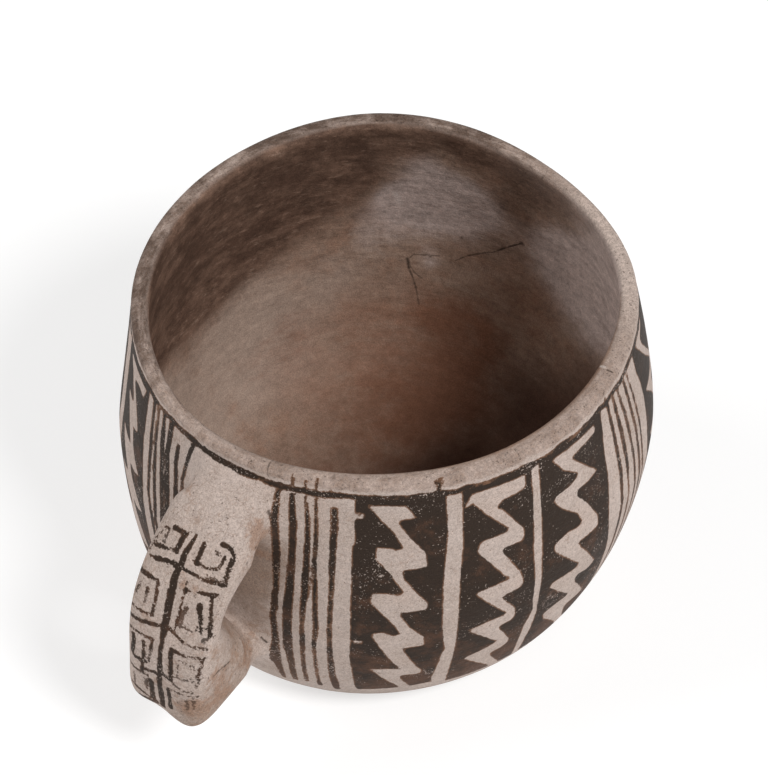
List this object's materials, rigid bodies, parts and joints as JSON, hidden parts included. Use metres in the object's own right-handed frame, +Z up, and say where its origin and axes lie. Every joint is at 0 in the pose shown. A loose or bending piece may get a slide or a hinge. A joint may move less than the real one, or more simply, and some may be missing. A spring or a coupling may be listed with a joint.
{
  "type": "pottery mug",
  "caption": "Hand-built round pottery mug with a broad strap handle, open at the top and hollow, in pale slipped clay with dark painted geometric bands.",
  "frame": {"origin": "centre of the flat base, on the surface that the mug stands on", "axes": "+Z up through the mouth, +X towards the handle"},
  "size_m": [0.1514, 0.1249, 0.0869],
  "materials": {
    "slipped_clay": "matt pale slip with dark brown mineral paint, worn"
  },
  "bodies": {
    "root": {"mug": "slipped_clay"}
  },
  "joints": []
}
